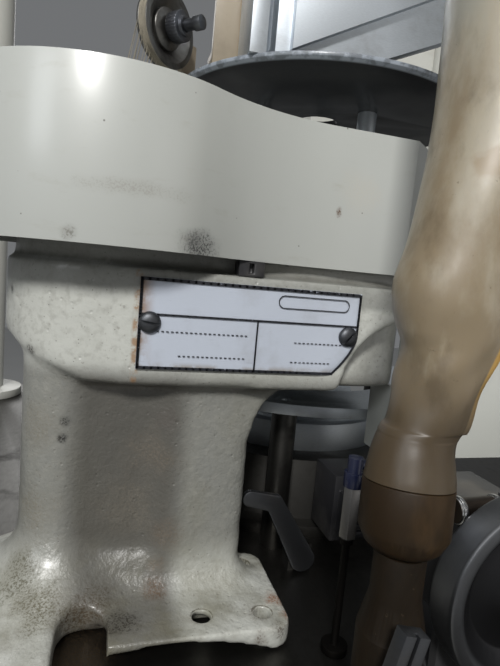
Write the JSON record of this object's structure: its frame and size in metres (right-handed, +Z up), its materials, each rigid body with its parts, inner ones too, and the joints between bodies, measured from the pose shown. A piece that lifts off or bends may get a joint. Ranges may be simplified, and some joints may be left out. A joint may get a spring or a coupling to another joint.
{
  "type": "industrial knitting machine",
  "caption": "Floor-standing circular sock knitting machine: enamelled column and arm over a needle cylinder, curved cover, guide disc, suction hose, cabinet, creel and control box.",
  "frame": {"origin": "on the floor under the needle cylinder's axis, at the middle of the four anchor holes", "axes": "+Z up, +Y towards the operator's side with the door and the control box, -Y towards the side with the column's nameplate, +X to the right seen from the nameplate side"},
  "size_m": [0.677, 0.6071, 1.88],
  "materials": {
    "grey_enamel": "semi-gloss grey enamel",
    "cabinet_enamel": "semi-gloss light enamel",
    "black_plastic": "matte",
    "oily_iron": "oiled, machined top",
    "blued_steel": "blackened",
    "motor_paint": "semi-gloss",
    "machined_steel": "machined",
    "belt_rubber": "matte",
    "bronze": "machined",
    "needle_steel": "polished",
    "cream_enamel": "thick hand-painted enamel over a sand casting",
    "cover_enamel": "smooth semi-gloss enamel",
    "plate_metal": "etched, satin",
    "black_disc": "satin black with a bare rim",
    "tan_paint": "semi-gloss",
    "duct_plastic": "satin",
    "hose_vinyl": "yellowed, translucent",
    "dark_blue_plastic": "gloss",
    "dark_cast": "dark paint",
    "wheel_cast": "dull cast",
    "box_paint": "fine texture",
    "red_plastic": "gloss",
    "green_plastic": "gloss",
    "creel_paint": "semi-gloss"
  },
  "bodies": {
    "machine": {"base_frame": "grey_enamel", "left_panel": "cabinet_enamel", "right_panel": "cabinet_enamel", "rear_panel": "cabinet_enamel", "bed_plate": "oily_iron", "bed_bolts": "blued_steel", "motor_bracket": "motor_paint", "motor": "motor_paint", "drive_belt": "belt_rubber", "cylinder_belt": "belt_rubber", "ball_bearings": "machined_steel", "cylinder_bearing": "bronze", "cam_box": "oily_iron", "selector_blocks": "black_plastic", "sinker_cap": "machined_steel", "finger_ring": "machined_steel", "head_belt": "belt_rubber", "column_casting": "cream_enamel", "head_cover": "cover_enamel", "cover_clip": "black_plastic", "nameplate": "plate_metal", "nameplate_screws": "blued_steel", "guide_disc": "black_disc", "disc_standoffs": "machined_steel", "bracket_plates": "machined_steel", "tension_bracket": "tan_paint", "tension_stud": "blued_steel", "suction_duct": "duct_plastic", "suction_hose": "hose_vinyl", "hose_sleeve": "hose_vinyl", "hose_tail": "hose_vinyl", "hose_bracket": "blued_steel", "air_fitting": "machined_steel", "push_in_fitting": "dark_blue_plastic", "feed_motor": "dark_cast", "ringed_spindle": "machined_steel", "side_guard": "cover_enamel", "control_post": "grey_enamel", "creel": "creel_paint"},
    "main_shaft": {"main_shaft": "machined_steel", "shaft_pulleys": "machined_steel"},
    "cylinder": {"cylinder_pulley": "machined_steel", "needle_cylinder": "machined_steel", "needles": "needle_steel"},
    "dial": {"dial": "machined_steel", "dial_shaft": "machined_steel", "dial_pulley": "machined_steel"},
    "motor_rotor": {"motor_pulley": "machined_steel"},
    "finger_1": {"yarn_finger_1": "machined_steel"},
    "finger_2": {"yarn_finger_2": "machined_steel"},
    "finger_3": {"yarn_finger_3": "machined_steel"},
    "door": {"front_door": "cabinet_enamel"},
    "latch": {"door_latch": "black_plastic"},
    "feed_wheel": {"feed_wheel": "wheel_cast"},
    "tension_discs": {"tension_discs": "machined_steel"},
    "tension_nut": {"tension_nut": "machined_steel"},
    "control_box": {"control_box": "box_paint"},
    "stop_button": {"stop_button": "red_plastic"},
    "start_button": {"start_button": "green_plastic"},
    "set_lever": {"set_lever": "blued_steel"}
  },
  "joints": [
    {"name": "main_spin", "type": "hinge", "parent": "machine", "child": "main_shaft", "pos_m": [-0.135, -0.099, 0.9], "axis": [0, 0, 1], "continuous": true},
    {"name": "cylinder_spin", "type": "hinge", "parent": "machine", "child": "cylinder", "pos_m": [0, 0, 0.88], "axis": [0, 0, 1], "continuous": true},
    {"name": "dial_spin", "type": "hinge", "parent": "machine", "child": "dial", "pos_m": [0, 0, 0.93], "axis": [0, 0, 1], "continuous": true},
    {"name": "motor_spin", "type": "hinge", "parent": "machine", "child": "motor_rotor", "pos_m": [0.095, 0.095, 0.77], "axis": [0, 0, 1], "continuous": true},
    {"name": "finger_1_swing", "type": "hinge", "parent": "machine", "child": "finger_1", "pos_m": [0.05911, 0.05911, 0.944], "axis": [0, 0, 1], "range_deg": [0, 18]},
    {"name": "finger_2_swing", "type": "hinge", "parent": "machine", "child": "finger_2", "pos_m": [0, 0.0836, 0.944], "axis": [0, 0, 1], "range_deg": [0, 18]},
    {"name": "finger_3_swing", "type": "hinge", "parent": "machine", "child": "finger_3", "pos_m": [-0.05911, 0.05911, 0.944], "axis": [0, 0, 1], "range_deg": [0, 18]},
    {"name": "door_hinge", "type": "hinge", "parent": "machine", "child": "door", "pos_m": [-0.232, 0.268, 0.45], "axis": [0, 0, 1], "range_deg": [0, 110]},
    {"name": "latch_turn", "type": "hinge", "parent": "door", "child": "latch", "pos_m": [0.205, 0.262, 0.454], "axis": [0, 1, 0], "range_deg": [0, 90]},
    {"name": "feed_wheel_spin", "type": "hinge", "parent": "machine", "child": "feed_wheel", "pos_m": [0.0197, -0.2, 0.904], "axis": [0, 1, 0], "continuous": true},
    {"name": "tension_disc_spin", "type": "hinge", "parent": "machine", "child": "tension_discs", "pos_m": [-0.1113, -0.0409, 1.141], "axis": [0.6947, -0.7193, 0], "continuous": true},
    {"name": "tension_nut_turn", "type": "hinge", "parent": "machine", "child": "tension_nut", "pos_m": [-0.1113, -0.0409, 1.141], "axis": [0.6947, -0.7193, 0], "continuous": true},
    {"name": "box_swivel", "type": "hinge", "parent": "machine", "child": "control_box", "pos_m": [0.255, 0.235, 1.25], "axis": [0, 0, 1], "range_deg": [-40, 40]},
    {"name": "stop_press", "type": "slide", "parent": "control_box", "child": "stop_button", "axis": [0, -1, 0], "range_m": [0, 0.005], "stiffness_N_per_m": 300},
    {"name": "start_press", "type": "slide", "parent": "control_box", "child": "start_button", "axis": [0, -1, 0], "range_m": [0, 0.003], "stiffness_N_per_m": 300},
    {"name": "set_lever_swing", "type": "hinge", "parent": "machine", "child": "set_lever", "pos_m": [-0.031, -0.119, 0.868], "axis": [0, 1, 0], "range_deg": [-2, 14]}
  ],
  "couplings": [
    {"joint": "cylinder_spin", "follows": "main_spin", "ratio": 1},
    {"joint": "dial_spin", "follows": "main_spin", "ratio": 1},
    {"joint": "motor_spin", "follows": "main_spin", "ratio": 2.3846}
  ]
}
